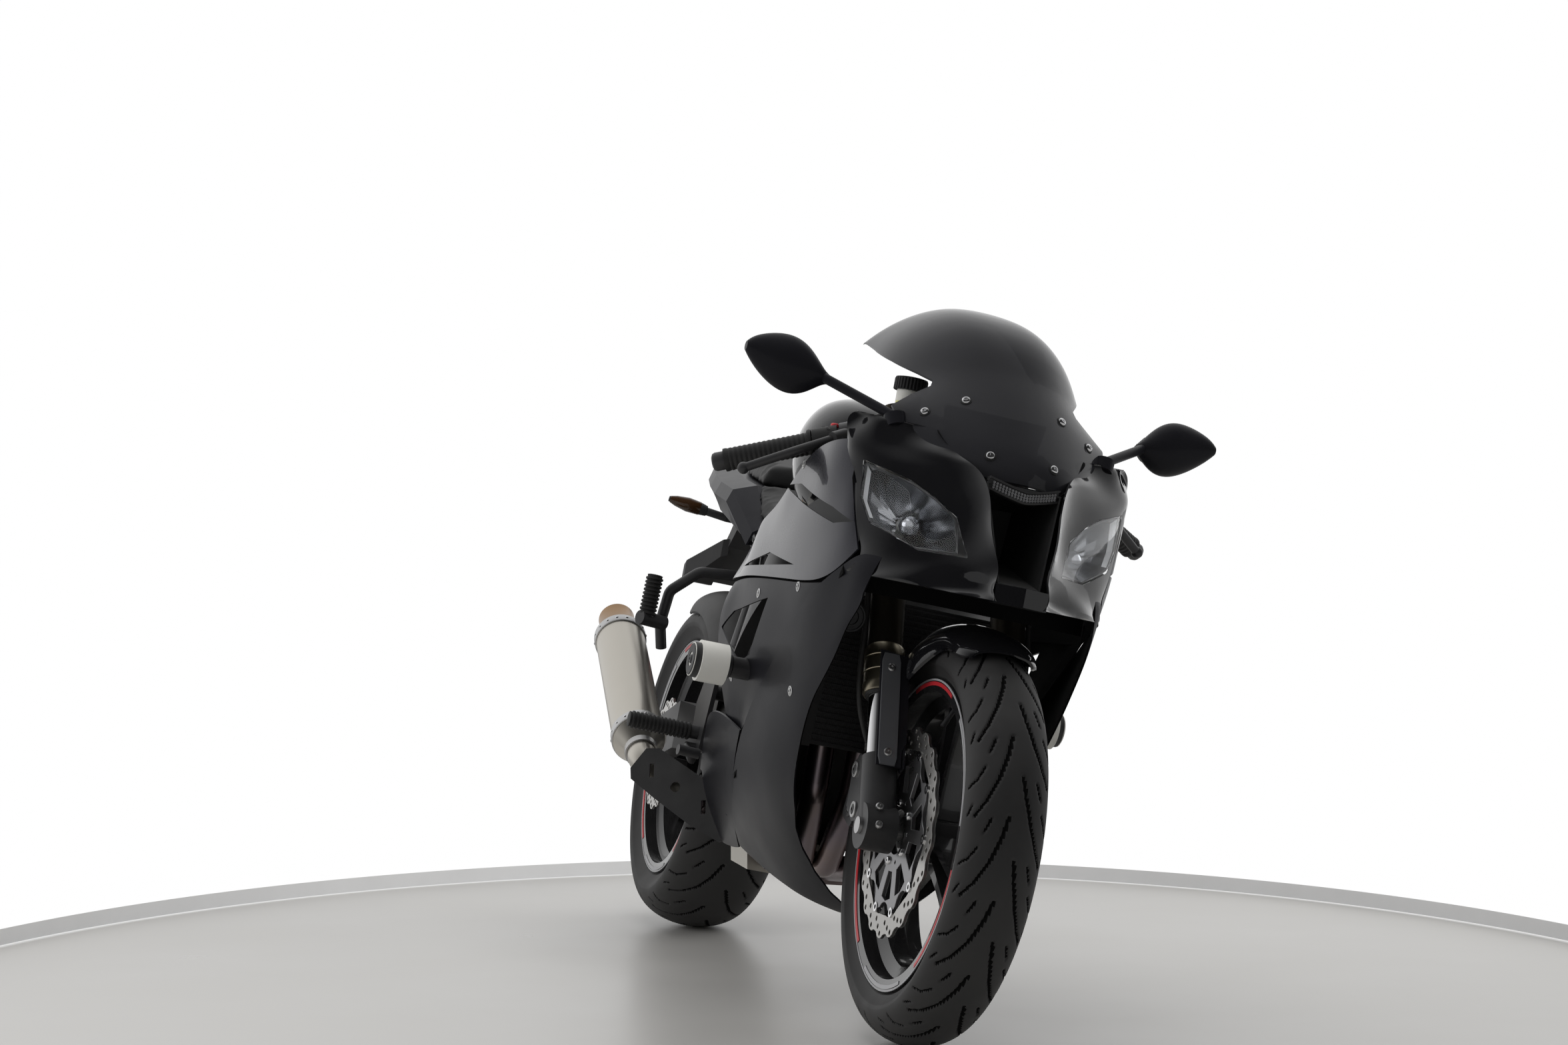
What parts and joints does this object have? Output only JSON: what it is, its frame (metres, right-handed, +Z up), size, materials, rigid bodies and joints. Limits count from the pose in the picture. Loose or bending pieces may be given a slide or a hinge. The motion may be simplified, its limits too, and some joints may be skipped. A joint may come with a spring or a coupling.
{
  "type": "sport bike",
  "caption": "Full-size faired sport bike leaning on its side stand, with turning wheels, steering and a folding stand.",
  "frame": {"origin": "middle of the footprint of the resting bike, on the floor", "axes": "Z up, Y rearward along the wheels, X to the rider's left"},
  "size_m": [0.7944, 2.0449, 1.1035],
  "materials": {
    "aluminium": "bare aluminium",
    "black_cast": "satin black cast metal",
    "black_plastic": "textured black plastic",
    "black_wheel": "gloss black cast wheel",
    "chain_steel": "oiled chain steel",
    "clear_lens": "clear lamp lens",
    "disc_steel": "brushed disc steel",
    "engine_grey": "dark engine castings",
    "fork_bronze": "dark bronze anodised tube",
    "fork_chrome": "polished fork tube",
    "gloss_black": "gloss black body paint",
    "grey_paint": "dark grey metallic paint",
    "header_steel": "heat tinted header steel",
    "nylon_white": "white nylon",
    "red_lens": "red lamp lens",
    "rubber": "black rubber",
    "satin_panel": "satin dark panel",
    "seat_cover": "black seat cover",
    "smoke_screen": "dark smoke screen",
    "titanium": "brushed titanium silencer",
    "tyre": "matt black road tyre rubber"
  },
  "bodies": {
    "chassis": {"frame": "black_cast", "engine_block": "engine_grey", "radiator": "black_plastic", "fuel_tank": "gloss_black", "rider_seat": "seat_cover", "pillion_seat": "seat_cover", "tail_cowl": "grey_paint", "tail_lamp": "red_lens", "plate_bracket": "black_plastic", "subframe": "black_cast", "swingarm": "black_cast", "rear_axle": "aluminium", "pivot_bolt": "aluminium", "chain": "chain_steel", "sprocket_cover": "black_plastic", "rear_caliper": "black_cast", "rear_hugger": "black_plastic", "shock_absorber": "black_cast", "exhaust_headers": "header_steel", "exhaust_chamber": "header_steel", "muffler": "titanium", "muffler_shield": "black_plastic", "rider_footrests": "black_cast", "pillion_footrests": "black_cast", "crash_bobbins": "nylon_white", "instrument_panel": "black_plastic", "nose_cowl": "gloss_black", "headlamp_lenses": "clear_lens", "side_panel_right": "grey_paint", "side_panel_left": "grey_paint", "blade_panel_right": "satin_panel", "blade_panel_left": "satin_panel", "mid_panel_right": "satin_panel", "mid_panel_left": "satin_panel", "belly_panel_right": "satin_panel", "belly_panel_left": "satin_panel", "intake_duct": "black_plastic", "mirrors": "gloss_black", "windscreen": "smoke_screen"},
    "steering": {"fork_outer_tubes": "fork_bronze", "fork_inner_tubes": "fork_chrome", "fork_feet": "black_cast", "front_calipers": "black_cast", "triple_clamps": "black_cast", "handlebars": "rubber", "hand_levers": "black_cast", "front_fender": "gloss_black", "fork_guards": "satin_panel", "front_axle": "aluminium"},
    "front_wheel": {"front_rim": "black_wheel", "front_tyre": "tyre", "front_discs": "disc_steel"},
    "rear_wheel": {"rear_rim": "black_wheel", "rear_tyre": "tyre", "rear_disc": "disc_steel", "rear_sprocket": "aluminium"},
    "side_stand": {"side_stand": "black_cast"}
  },
  "joints": [
    {"name": "steering_turn", "type": "hinge", "parent": "chassis", "child": "steering", "pos_m": [-0.00939, -0.44243, 0.81719], "axis": [0.176, 0.4217, 0.8895], "range_deg": [-27, 27]},
    {"name": "front_wheel_spin", "type": "hinge", "parent": "steering", "child": "front_wheel", "pos_m": [-0.11257, -0.72249, 0.29583], "axis": [0.981, 0.0002, -0.1942], "continuous": true},
    {"name": "rear_wheel_spin", "type": "hinge", "parent": "chassis", "child": "rear_wheel", "pos_m": [-0.10868, 0.70249, 0.31691], "axis": [0.981, 0.0002, -0.1942], "continuous": true},
    {"name": "stand_fold", "type": "hinge", "parent": "chassis", "child": "side_stand", "pos_m": [0.01698, 0.15757, 0.2405], "axis": [0.9272, -0.1328, 0.3502], "range_deg": [0, 80]}
  ]
}
